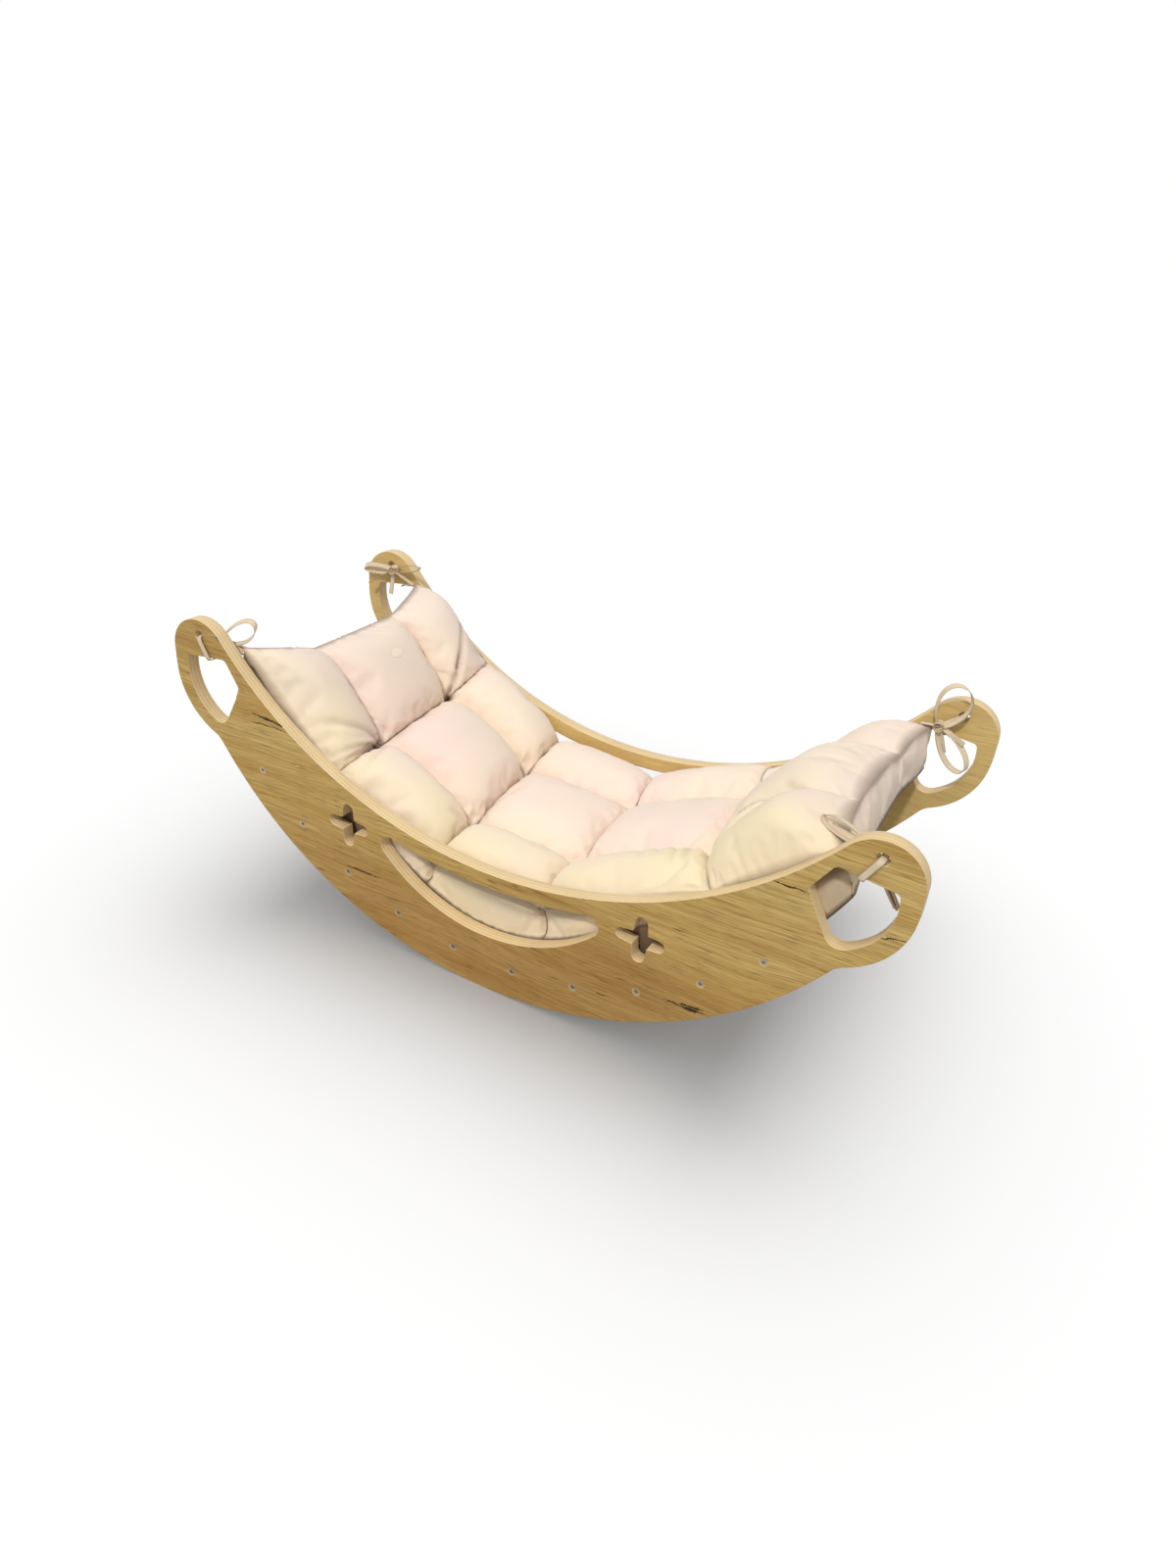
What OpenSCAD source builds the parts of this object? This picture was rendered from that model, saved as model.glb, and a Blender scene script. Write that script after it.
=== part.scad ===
// Wooden rocker arch for a small child: two plywood side panels joined by ten round
// rungs, with a tufted cushion lying in the arch and tied to the four handles.
// X runs along the rocker, Y across it, Z up. The origin is on the floor, midway.

/* [Side panels] */
// Overall length, handle to handle
length = 956; // [940:2:976]
// Overall width, outer face to outer face
width = 400; // [380:2:440]
// Thickness of the plywood
panel_t = 18; // [15:0.5:21]
// Radius of the edge that rolls on the floor
roll_r = 500; // [496:1:504]
// Radius of the hollow top edge
top_r = 517; // [512:1:522]
// Height of the top edge midway along
top_z = 171; // [168:1:174]

/* [Handles] */
// Radius of the round end of a handle
handle_r = 92; // [90:0.5:94]
// Height of the middle of that round end
handle_z = 309; // [306:1:312]
// Radius of the top corner of a handle
tip_r = 44; // [42:0.5:46]
// Radius of the hollow where the handle meets the rolling edge
notch_r = 28; // [20:1:34]
// Wood left between the hand hole and the rim
rim = 20; // [17:0.5:23]
// Diameter of the round hole that takes the tie
tie_hole_d = 14; // [12:0.5:16]

/* [Cut-outs] */
// Height of the lowest point of the carrying slot
grip_low_z = 80; // [76:1:84]
// Height of the slot's upper edge midway along
grip_top_z = 151; // [146:1:153]
// Radius of the slot's lower edge
grip_low_r = 206; // [202:1:210]
// Radius of the slot's upper edge
grip_top_r = 581; // [575:1:590]
// Radius of the slot's two tips
grip_tip_r = 14; // [12:0.5:15]
// Distance of each star from the middle of the panel
star_x = 204; // [200:1:210]
// Height of the middle of each star
star_z = 162; // [160:1:165]
// Distance from a star's middle to the end of an arm
star_reach = 30; // [27:0.5:32]

/* [Rungs and screws] */
// Diameter of a rung
rung_d = 32; // [28:1:34]
// Distance of the rung axes from the rolling edge
rung_in = 41; // [38:0.5:43]
// Angle from one rung to the next
rung_pitch = 10.75; // [10.5:0.05:10.8]
// Diameter of a screw's shank
screw_d = 4; // [3.5:0.5:5]
// Diameter of a screw's head
screw_head_d = 9; // [8:0.5:10]
// Length of a screw
screw_l = 50; // [40:1:60]
// How deep a screw's head sits below the outer face
screw_sunk = 0.3; // [0.1:0.1:1]

/* [Cushion] */
// Height of the highest pillows above the rungs
crown_h = 122; // [116:1:126]
// Height of the lower seam above the rungs
seam_low = 15; // [10:1:20]
// How far the underside is drawn up at the tufts
under_draw = 16; // [8:1:24]
// Gap between the cushion's seams and the panels
cushion_gap = 4; // [3.5:0.5:6]
// How far the cushion's two ends hang down past the last rungs
end_hang = 24; // [16:1:28]
// How much further their corners hang
corner_hang = 8; // [0:1:12]
// How far the side walls are drawn in beside the tufts
gather = 8; // [0:1:11]

/* [Ties] */
// Width of the tape
tape_w = 8; // [6:0.5:9]
// Thickness of the tape
tape_t = 1.2; // [1:0.1:1.6]
// Height of the knot's barrel
knot_l = 10; // [8:0.5:12]

/* [Hidden] */

oak = "#c9a468";
beech = "#e2c391";
steel = "#b9b6ad";
cotton = "#f4ddc4";
tape = "#cdb69a";

half = length / 2;
inner_y = width / 2 - panel_t;
over = 1;                                   // how far a cutter runs past a face
lap = 0.01;                                 // how far touching circles cross, for clean joins

// Centres of the circles that the panel's outline is made of, each touching the next
roll_c = [0, roll_r];
top_c = [0, top_z + top_r];
handle_c = [half - handle_r, handle_z];
tip_x = half - tip_r;
tip_c = [tip_x, top_c.y - sqrt(pow(top_r + tip_r - lap, 2) - tip_x * tip_x)];
notch_c = meet(roll_c, roll_r + notch_r - lap, handle_c, handle_r + notch_r - lap, -1);

tie_hole = tip_c + [-1, 23.5];
rung_r = roll_r - rung_in;                  // rung axes lie on this circle
seat_r = rung_r - rung_d / 2;               // top of the rungs
rungs = 10;

// The cushion's posts: tufts inside, seams outside. Each is an angle along the arc and
// a height above the rungs; one row of posts for each line across, from front to rear.
posts = [
    [[-66.8, 29], [-63.2, 48], [-63.2, 46], [-67, 28]],
    [[-40, 80], [-40.5, 62], [-42.1, 56], [-44.5, 82]],
    [[-14, 68], [-15, 58], [-17.5, 56], [-18.5, 72]],
    [[10, 70], [10, 66], [9.3, 72], [8, 74]],
    [[46, 66], [40.3, 70], [39, 68], [37, 86]],
    [[67, 27], [68.3, 32], [67.5, 30], [67, 26]]];
half_w = inner_y - cushion_gap;
col_y = [-half_w, -80, 80, half_w];
row_crown = [for (below = [20, 0, 8, 6, 18]) crown_h - below];
// How far the cloth arches between two posts: along each line of posts, then across
arch_along = [[14, 14, 14, 14], [18, 14, 14, 18], [18, 14, 14, 18], [18, 14, 14, 18],
    [20, 44, 24, 14]];
arch_across = [4, 14, 14, 14, 14, 3];
row_steps = 6;
col_steps = 5;

// Where the tape runs at the right front corner: along X, in from the outer face, up.
// From the cushion's corner it goes out through the hand hole, up the outer face and
// back in through the tie hole.
strap = [
    [386, 23, 336.8], [394, 24, 337], [401, 24, 334.5], [407, 22, 331], [412.5, 17, 328.2],
    [416, 10, 327.5], [416.6, 4, 327.5], [417, 0, 327.9], [417.8, -2.1, 330], [420, -2.6, 334],
    [424, -2.6, 341], [428, -2.5, 348], [430.6, -1.8, 352], [432.2, 0.6, 354.6],
    [433, 5, 355.8], [433, 12, 356], [432, 18, 355.6], [429, 23, 354]];

function rung_name(i) = str("rung_", i < 10 ? "0" : "", i);
function unit(v) = v / norm(v);
function toward(from, to, r) = from + r * unit(to - from);
// Where two circles cross; side picks which of the two points
function meet(c1, r1, c2, r2, side) =
    let (d = norm(c2 - c1), e = (c2 - c1) / d, a = (r1 * r1 - r2 * r2 + d * d) / (2 * d))
    c1 + a * e + side * sqrt(r1 * r1 - a * a) * [-e.y, e.x];
function at(c, r, deg) = c + r * [cos(deg), sin(deg)];
// The two ends of the line that touches circles p and q, [x, y, r], on their right
function touch(p, q) =
    let (a = [p.x, p.y], b = [q.x, q.y], d = norm(b - a), e = (b - a) / d)
    let (s = (p.z - q.z) / d, n = sqrt(1 - s * s) * [e.y, -e.x] + s * e)
    [a + (p.z - lap) * n, b + (q.z - lap) * n];

$fn = 96;

module disc(c, r) {
    translate(c) circle(r);
}

// A convex outline with round corners, each [x, y, r], listed anticlockwise
module rounded(corners) {
    n = len(corners);
    polygon([for (i = [0:n - 1]) each touch(corners[i], corners[(i + 1) % n])]);
    for (c = corners) disc([c.x, c.y], c.z);
}

module both_ends() {
    children();
    mirror([1, 0]) children();
}

// The hand hole follows the rim outside and the tie hole's bridge on top
module hand_hole() {
    hole_r = handle_r - rim;
    low_deg = -63;
    high_deg = 9.6;
    low = at(handle_c, hole_r - 16 + lap, low_deg);
    high = at(handle_c, hole_r - 6 + lap, high_deg);
    top = handle_c + [11, 16];
    inside = handle_c + [-7.5, -10];
    rounded([[low.x, low.y, 16], [high.x, high.y, 6], [top.x, top.y, 8],
        [inside.x, inside.y, 6]]);
    intersection() {
        disc(handle_c, hole_r);
        polygon([handle_c, at(handle_c, 2 * hole_r, low_deg),
            at(handle_c, 2 * hole_r, (low_deg + high_deg) / 2),
            at(handle_c, 2 * hole_r, high_deg)]);
    }
}

// A crescent between two arcs, with a round tip at each end
module grip_slot() {
    low_c = [0, grip_low_z + grip_low_r];
    high_c = [0, grip_top_z + grip_top_r];
    tip = meet(low_c, grip_low_r - grip_tip_r + lap, high_c, grip_top_r + grip_tip_r - lap, -1);
    end = toward(low_c, tip, grip_low_r + over);
    difference() {
        union() {
            intersection() {
                disc(low_c, grip_low_r);
                polygon([[0, grip_low_z - over], [end.x, grip_low_z - over], end, tip, high_c,
                    [-tip.x, tip.y], [-end.x, end.y], [-end.x, grip_low_z - over]]);
            }
            both_ends() disc(tip, grip_tip_r);
        }
        disc(high_c, grip_top_r);
    }
}

module star() {
    middle = [0, 0, 10];
    arm = [star_reach - 7.5, 0, 7.5];
    disc([0, 0], middle.z / 2);
    for (turn = [0:90:270])
        rotate(turn) {
            polygon(concat(touch(middle, arm), touch(arm, middle)));
            disc([arm.x, 0], arm.z);
        }
}

module handle_outline() {
    polygon([roll_c, notch_c, toward(handle_c, notch_c, handle_r / 2), [half, handle_z],
        [half, tip_c.y], tip_c, top_c]);
    disc(tip_c, tip_r);
    intersection() {
        disc(handle_c, handle_r);
        translate([handle_c.x, 0]) square([half, handle_z]);
    }
}

module panel_outline() {
    difference() {
        union() {
            intersection() {
                disc(roll_c, roll_r);
                translate([-half, -over]) square([length, handle_z - rim]);
            }
            both_ends() handle_outline();
        }
        disc(top_c, top_r);
        both_ends() {
            disc(notch_c, notch_r);
            hand_hole();
            disc(tie_hole, tie_hole_d / 2);
            translate([star_x, star_z]) star();
        }
        grip_slot();
    }
}

// Puts a child at each rung's axis on the front face, its own +Z pointing backwards
module on_rung_axes() {
    for (i = [1:rungs]) on_rung_axis(i) children();
}

module on_rung_axis(i) {
    deg = rung_pitch * (i - (rungs + 1) / 2);
    translate([rung_r * sin(deg), 0, roll_r - rung_r * cos(deg)])
        rotate([-90, 0, 0]) children();
}

module front_side() {
    difference() {
        translate([0, -inner_y, 0]) rotate([90, 0, 0])
            linear_extrude(panel_t) panel_outline();
        translate([0, -width / 2, 0]) on_rung_axes() screw_hole(panel_t + over);
    }
}

// The rear side is the front side turned round
module at_rear() {
    mirror([0, 1, 0]) children();
}

module front_side_panel() {
    color(oak) front_side();
}

module rear_side_panel() {
    color(oak) at_rear() front_side();
}

// Clearance hole and countersink, from the outer face inwards
module screw_hole(depth) {
    shank_r = screw_d / 2 + 0.25;
    head_r = screw_head_d / 2 + 0.1 + screw_sunk;
    translate([0, 0, -over]) cylinder(h = depth + over, r = shank_r, $fn = 32);
    translate([0, 0, -over])
        cylinder(h = head_r - shank_r + over, r1 = head_r + over, r2 = shank_r, $fn = 32);
}

// Countersunk wood screw with a hexagon socket, head at the origin, running along +Z
module screw() {
    shank_r = screw_d / 2;
    head_r = screw_head_d / 2;
    point_l = 5;
    difference() {
        union() {
            cylinder(h = head_r - shank_r, r1 = head_r, r2 = shank_r, $fn = 32);
            cylinder(h = screw_l - point_l, r = shank_r, $fn = 32);
            translate([0, 0, screw_l - point_l])
                cylinder(h = point_l, r1 = shank_r, r2 = 0.5, $fn = 32);
        }
        translate([0, 0, -over]) cylinder(h = 2 + over, r = 1.7, $fn = 6);
    }
}

module front_rung_screws() {
    color(steel) translate([0, screw_sunk - width / 2, 0]) on_rung_axes() screw();
}

module rear_rung_screws() {
    at_rear() front_rung_screws();
}

// One rung, bored at both ends for its screws
module rung(i) {
    bore_r = screw_d / 2 + 0.05;
    bore_l = screw_l - panel_t + 2;
    on_rung_axis(i) difference() {
        translate([0, 0, -inner_y]) cylinder(h = 2 * inner_y, d = rung_d);
        translate([0, 0, -inner_y - over]) cylinder(h = bore_l + over, r = bore_r, $fn = 32);
        translate([0, 0, inner_y - bore_l]) cylinder(h = bore_l + over, r = bore_r, $fn = 32);
    }
}

// Cushion: a box of cloth bent round the rungs, with a dome on each of its pillows.
// A place on it is an angle, a distance across and a height above the rungs.
function mix(a, b, t) = a + (b - a) * t;
function eased(k, n) = (1 - cos(180 * k / n)) / 2;      // steps close up at the seams
function arch(t) = pow(max(sin(180 * t), 0), 0.8);      // 0 at both posts, 1 between
function rise(t) = sqrt(max(1 - pow(abs(2 * t - 1), 2.4), 0));
function place(deg, y, h) = let (r = seat_r - h) [r * sin(deg), y, roll_r - r * cos(deg)];
rows = len(posts) - 1;
cols = len(col_y) - 1;
nu = rows * row_steps;
nv = cols * col_steps;
function row_of(i) = min(floor(i / row_steps), rows - 1);
function col_of(j) = min(floor(j / col_steps), cols - 1);
function u_of(i) = eased(i - row_of(i) * row_steps, row_steps);
function v_of(j) = eased(j - col_of(j) * col_steps, col_steps);
function dome(i, j) = rise(u_of(i)) * rise(v_of(j));
// Angle (part 0) or height (part 1) at grid place i, j, straight between its four posts
function between(i, j, part) =
    let (r = row_of(i), c = col_of(j), u = u_of(i))
    mix(mix(posts[r][c][part], posts[r + 1][c][part], u),
        mix(posts[r][c + 1][part], posts[r + 1][c + 1][part], u), v_of(j));
function deg_at(i, j) = between(i, j, 0);
function y_at(j) = mix(col_y[col_of(j)], col_y[col_of(j) + 1], v_of(j));
function top_h(i, j) =
    let (r = row_of(i), c = col_of(j), u = u_of(i), v = v_of(j))
    let (along = mix(arch_along[r][c], arch_along[r][c + 1], v) * arch(u))
    let (across = mix(arch_across[r], arch_across[r + 1], u) * arch(v))
    let (base = between(i, j, 1) + max(along, across))
    base + max(row_crown[r] - base, 0) * dome(i, j);
// The lower seam runs higher beside the rungs, and hangs down past the last ones. Its
// four corners stay behind, as the ties pull at the upper ones.
function smooth(t) = let (s = min(max(t, 0), 1)) s * s * (3 - 2 * s);
function aside(j) = smooth((abs(y_at(j)) - 80) / (half_w - 80));
function low_deg(i, j) =
    let (deg = deg_at(i, j)) deg * (1 - corner_back * aside(j) * smooth((abs(deg) - 50) / 17));
function low_h(i, j) =
    let (deg = abs(deg_at(i, j)))
    let (inward = min(min(i, nu - i) / row_steps, 1) * min(min(j, nv - j) / col_steps, 1))
    mix(seam_low + 25 * pow(sin(min(3 * deg, 180)), 2),
        under_draw * (1 - min(1, 1.6 * dome(i, j))), pow(inward, 0.6))
        - (end_hang + corner_hang * aside(j)) * smooth((deg - 49) / 9);
// Numbers of the grid places round the cushion's edge, anticlockwise from above
edge_ij = concat([for (i = [0:nu - 1]) [i, 0]], [for (j = [0:nv - 1]) [nu, j]],
    [for (i = [nu:-1:1]) [i, nv]], [for (j = [nv:-1:1]) [0, j]]);
wall_rows = 2;                                          // rows of points on the side wall
wall_bulge = 3;                                         // how far the wall swells out
end_bulge = 8;                                          // and how far the end wall does
corner_back = 0.05;                                     // share by which lower corners stay back
function wall_point(k, row) =
    let (i = edge_ij[k].x, j = edge_ij[k].y, t = row / (wall_rows + 1), out = sin(180 * t))
    let (swell = wall_bulge * rise(u_of(i)) - (i % row_steps == 0 && i % nu > 0 ? gather : 0))
    let (dy = (j == 0 ? -1 : j == nv ? 1 : 0) * swell * out)
    let (da = (i == 0 ? -1 : i == nu ? 1 : 0) * end_bulge * arch(v_of(j)) * out / seat_r * 180 / PI)
    place(mix(deg_at(i, j), low_deg(i, j), t) + da, y_at(j) + dy, mix(top_h(i, j), low_h(i, j), t));

module cushion() {
    n = (nu + 1) * (nv + 1);
    k_max = len(edge_ij);
    points = concat(
        [for (i = [0:nu], j = [0:nv]) place(deg_at(i, j), y_at(j), top_h(i, j))],
        [for (i = [0:nu], j = [0:nv]) place(low_deg(i, j), y_at(j), low_h(i, j))],
        [for (row = [1:wall_rows], k = [0:k_max - 1]) wall_point(k, row)]);
    function top_n(p) = p.x * (nv + 1) + p.y;
    function ring_n(row, k) = row == 0 ? top_n(edge_ij[k % k_max])
        : row == wall_rows + 1 ? n + top_n(edge_ij[k % k_max])
        : 2 * n + (row - 1) * k_max + k % k_max;
    faces = concat(
        [for (i = [0:nu - 1], j = [0:nv - 1])
            let (a = top_n([i, j]), b = top_n([i + 1, j]), c = b + 1, d = a + 1)
            each [[a, c, b], [a, d, c], [n + a, n + b, n + c], [n + a, n + c, n + d]]],
        [for (row = [0:wall_rows], k = [0:k_max - 1])
            let (a = ring_n(row, k), b = ring_n(row, k + 1))
            let (c = ring_n(row + 1, k + 1), d = ring_n(row + 1, k))
            each [[a, b, c], [a, c, d]]]);
    color(cotton) polyhedron(points, faces);
}

// Flat tape swept along points; its width lies along the direction wide
module ribbon(points, wide) {
    n = len(points);
    w = unit(wide) * tape_w / 2;
    function side(i) =
        unit(cross(points[min(i + 1, n - 1)] - points[max(i - 1, 0)], wide)) * tape_t / 2;
    polyhedron(
        [for (i = [0:n - 1]) let (p = points[i], s = side(i))
            each [p + w + s, p + w - s, p - w - s, p - w + s]],
        concat([[0, 2, 1], [0, 3, 2]],
            [for (i = [0:n - 2], k = [0:3])
                let (a = 4 * i + k, b = 4 * i + (k + 1) % 4)
                each [[a, b + 4, a + 4], [a, b, b + 4]]],
            [[4 * n - 4, 4 * n - 3, 4 * n - 2], [4 * n - 4, 4 * n - 2, 4 * n - 1]]));
}

// A bow's loop leaves the knot, rounds its tip and comes back: reach is the way to
// the tip, and open the way from one side of the loop to the other
function loop(knot, reach, open) =
    [for (k = [1:19]) let (t = 18 * k)
        knot + reach * (1 - cos(t)) / 2 + open / 2 * sin(t) * (0.35 + 0.65 * sin(t / 2))];
function tail(knot, reach, drop) =
    [for (k = [0:5]) let (t = 0.05 + 0.19 * k) knot + reach * t + [0, 0, -drop * t * t]];

// One tie at the right front corner, all its points given as the strap's are: the
// strap, the short lead from the cushion to the knot, the knot, two loops, two tails
module tie(knot, loops, tails) {
    translate([0, -width / 2, 0]) {
        ribbon(concat(strap, [knot]), [0.9, 0, -0.42]);
        ribbon([strap[0] + [0, 3, 1], mix(strap[0], knot, 0.5) + [0, 4, 2], knot], [0, 1, 0]);
        for (l = loops) ribbon(loop(knot, l[0], l[1]), cross(l[0], l[1]));
        for (t = tails) ribbon(tail(knot, t[0], t[1]), t[2]);
        translate(knot) rotate([90, 0, 0]) barrel();
    }
}

// The band of tape round the middle of the bow
module barrel() {
    rotate_extrude($fn = 12) intersection() {
        translate([-4, 0]) circle(9.5, $fn = 24);
        translate([0, -knot_l / 2]) square(knot_l);
    }
}

module at_left() {
    mirror([1, 0, 0]) children();
}

module tie_front_right() {
    color(tape) tie([418, 28, 347],
        [[[-58, 32, 12], [6, 10, 14]], [[32, 2, -52], [16, 0, 10]]],
        [[[-40, 26, 6], 2, [0, 1, 0.6]], [[14, 6, -40], 0, [1, 0, 0.3]]]);
}

module tie_front_left() {
    color(tape) at_left() tie([424, 28, 351],
        [[[-55, 8, 14], [5, 2, 24]], [[2, 4, -46], [20, 2, 0]]],
        [[[22, 4, -38], 0, [1, 0, 0.6]], [[-18, 10, 0], 4, [0, 1, 0.6]]]);
}

module tie_rear_right() {
    color(tape) at_rear() tie([409, 29, 341],
        [[[9, 3, 59], [46, 0, -6]], [[40, 3, -49], [24, 0, 18]]],
        [[[34, 4, -12], 2, [0.3, 0, 1]], [[12, -3, -34], 0, [1, 0, 0.2]]]);
}

module tie_rear_left() {
    color(tape) at_left() at_rear() tie([421, 28, 354],
        [[[53, 2, -6], [1, 6, 14]], [[-50, 3, 14], [-3, 6, 14]]],
        [[[44, 6, -24], 4, [0, 1, 0]], [[4, 3, -38], 0, [1, 0, 0]]]);
}

front_side_panel();
rear_side_panel();
for (i = [1:rungs])
    color(beech) rung(i);
front_rung_screws();
rear_rung_screws();
cushion();
tie_front_left();
tie_front_right();
tie_rear_left();
tie_rear_right();
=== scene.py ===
# %% [markdown]
# # Dressing a wooden rocker arch
# The rocker is two plywood sides, ten round rungs between them, and a tufted cushion that
# four tapes tie to the handles. Its construction is finished and comes as a fixed frame, in
# metres: X runs along the rocker, Y across it, Z up, and the origin is on the floor midway.
# The lesson dresses that frame piece by piece. Nothing that the frame holds is moved.

# %% Load the frame
import math

import bmesh
import bpy
from mathutils import Matrix, Vector, noise


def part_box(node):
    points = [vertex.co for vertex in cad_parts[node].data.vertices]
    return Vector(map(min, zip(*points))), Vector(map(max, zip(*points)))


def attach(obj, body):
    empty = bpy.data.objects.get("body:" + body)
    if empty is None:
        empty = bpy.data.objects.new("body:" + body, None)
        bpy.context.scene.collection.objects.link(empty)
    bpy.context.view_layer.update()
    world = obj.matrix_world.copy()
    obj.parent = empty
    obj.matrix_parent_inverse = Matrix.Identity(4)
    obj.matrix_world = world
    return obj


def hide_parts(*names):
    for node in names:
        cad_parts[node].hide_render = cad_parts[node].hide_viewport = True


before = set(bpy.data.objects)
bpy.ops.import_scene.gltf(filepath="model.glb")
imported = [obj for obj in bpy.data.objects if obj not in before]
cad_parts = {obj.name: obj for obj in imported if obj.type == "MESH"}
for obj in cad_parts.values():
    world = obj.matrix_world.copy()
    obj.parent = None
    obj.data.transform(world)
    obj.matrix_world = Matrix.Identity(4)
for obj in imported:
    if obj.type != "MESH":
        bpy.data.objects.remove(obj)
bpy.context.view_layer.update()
mm = 0.001

# %% [markdown]
# ## The camera
# The photograph was taken from in front and above, with a wide lens and the camera held a
# little crooked. A camera could be aimed at a target by a constraint, but then its tilt would
# be lost. So its place and its three turns are given as they were worked out.

# %% Place the camera
camera_place = (0.5428, -1.0460, 0.8578)
camera_turns = (60.798, -4.428, 28.798)
frame_height = 36
lens = 23.68

bpy.ops.object.select_all(action="DESELECT")
bpy.ops.object.camera_add(location=camera_place, rotation=[math.radians(a) for a in camera_turns])
camera = bpy.context.object
camera.name = "camera"
camera.data.sensor_fit = "VERTICAL"
camera.data.sensor_height = frame_height
camera.data.lens = lens
bpy.context.scene.camera = camera

# %% [markdown]
# ## Helpers for modelling
# Every operator acts on what is selected, so each piece starts from an empty selection. Small
# helpers pick, name, settle, smooth and copy a piece, and apply its modifiers. The last one
# hands a finished piece to the frame, where it rides on the body and stands for the frame's own
# plain nodes, and puts it in the collection that the key lamp will shine on.

# %% Helpers
def start_fresh():
    if bpy.context.object and bpy.context.object.mode != "OBJECT":
        bpy.ops.object.mode_set(mode="OBJECT")
    bpy.ops.object.select_all(action="DESELECT")


def pick(piece):
    start_fresh()
    piece.select_set(True)
    bpy.context.view_layer.objects.active = piece
    return piece


def added(name):
    piece = bpy.context.object
    piece.name = name
    piece.data.name = name
    return piece


def settle(piece):
    """Puts the object's place, turn and size into its mesh."""
    pick(piece)
    bpy.ops.object.transform_apply(location=True, rotation=True, scale=True)


def modify(piece, kind, **settings):
    """Adds a modifier, sets it and applies it."""
    pick(piece)
    bpy.ops.object.modifier_add(type=kind)
    change = piece.modifiers[-1]
    for key, value in settings.items():
        setattr(change, key, value)
    bpy.ops.object.modifier_apply(modifier=change.name)


def smooth(piece, degrees):
    pick(piece)
    bpy.ops.object.shade_smooth_by_angle(angle=math.radians(degrees))


def select_faces(piece, wanted):
    """Selects the faces that pass a test, in edit mode."""
    bpy.ops.mesh.select_all(action="DESELECT")
    grid = bmesh.from_edit_mesh(piece.data)
    for face in grid.faces:
        face.select_set(wanted(face))
    bmesh.update_edit_mesh(piece.data)


def copy_of(piece, name):
    """A copy with its own mesh."""
    twin = bpy.data.objects.new(name, piece.data.copy())
    bpy.context.scene.collection.objects.link(twin)
    twin.data.name = name
    return twin


lit_by_key = bpy.data.collections.new("lit_by_key")


def hand_over(piece, slot, *nodes):
    lit_by_key.objects.link(piece)
    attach(piece, "root")
    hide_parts(*nodes)
    print(piece.name, len(piece.data.polygons), "faces, for", ", ".join(nodes))


# %% [markdown]
# ## Helpers for materials
# A material is a small network of nodes. Writing each node out takes many lines, so one helper
# makes a node, sets it and joins its inputs: an input is either a number or the output of an
# earlier node. All patterns read Object coordinates, so they are in metres and stay put.

# %% Material helpers
def new_finish(name, **shader_values):
    finish = bpy.data.materials.new(name)
    finish.use_nodes = True
    for key, value in shader_values.items():
        shader_of(finish).inputs[key.replace("_", " ")].default_value = value
    return finish


def shader_of(finish):
    return finish.node_tree.nodes["Principled BSDF"]


def wire(finish, kind, inputs, **settings):
    made = finish.node_tree.nodes.new("ShaderNode" + kind)
    for key, value in settings.items():
        setattr(made, key, value)
    for key, value in inputs.items():
        if isinstance(value, bpy.types.NodeSocket):
            finish.node_tree.links.new(value, made.inputs[key])
        else:
            made.inputs[key].default_value = value
    return made


def places(finish, scale, turn=(0, 0, 0)):
    """Object coordinates, turned in degrees and then scaled along each axis."""
    read = wire(finish, "TexCoord", {}).outputs["Object"]
    if any(turn):
        angles = [math.radians(a) for a in turn]
        read = wire(finish, "Mapping", {"Vector": read, "Rotation": angles}).outputs[0]
    return wire(finish, "Mapping", {"Vector": read, "Scale": scale}).outputs[0]


def cloudy(finish, where, detail=3.0, rough=0.5):
    """Noise from 0 to 1."""
    return wire(finish, "TexNoise", {"Vector": where, "Scale": 1.0, "Detail": detail,
                                     "Roughness": rough}).outputs["Fac"]


def spread(finish, value, low, high, to_low=0.0, to_high=1.0):
    """Stretches the part of value between low and high over the new range."""
    return wire(finish, "MapRange", {"Value": value, "From Min": low, "From Max": high,
                                     "To Min": to_low, "To Max": to_high}).outputs[0]


def blend(finish, share, one, other):
    """Mixes two colours, or outputs that carry colours."""
    return wire(finish, "Mix", {"Factor": share, 6: one, 7: other}, data_type="RGBA").outputs[2]


def reckon(finish, how, one, other):
    return wire(finish, "Math", {0: one, 1: other}, operation=how).outputs[0]


def by_vector(finish, how, one, other=(0, 0, 0)):
    return wire(finish, "VectorMath", {0: one, 1: other}, operation=how)


def rough_up(finish, height, depth):
    """Bump, with depth in metres."""
    bump = wire(finish, "Bump", {"Height": height, "Distance": depth})
    finish.node_tree.links.new(bump.outputs[0], shader_of(finish).inputs["Normal"])


def colour_with(finish, colour):
    finish.node_tree.links.new(colour, shader_of(finish).inputs["Base Color"])


def shade(red, green, blue):
    """A colour as a screen shows it, 0 to 255, turned into the shader's own numbers."""
    parts = [value / 255 for value in (red, green, blue)]
    return [p / 12.92 if p <= 0.04045 else ((p + 0.055) / 1.055) ** 2.4 for p in parts] + [1]


# %% [markdown]
# ## Floor and light
# The rocker stands in a white studio, with one soft shadow round it. A sky that is bright all
# round gives that kind of shadow, but a paler one. So the floor is a mid grey, which keeps the
# shadow dark, and shows a painted glow of its own to the camera alone. That glow is weakest
# beside the rocker, which paints the shadow there darker, and grows with the distance from the
# rocker, until floor and background are one white.

# %% Floor
floor_size = 60
floor_grey = 0.5
shadow_half = (0.30, 0.20, 0)
near_lift, far_lift = 0.12, 0.64
fade_length = 0.155
fade_power = 1.3


def shown_or_mirrored(finish):
    """1 for what the camera sees, straight or in a reflection, and 0 for light."""
    seen = wire(finish, "LightPath", {})
    return reckon(finish, "MAXIMUM", seen.outputs["Is Camera Ray"], seen.outputs["Is Glossy Ray"])


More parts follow.
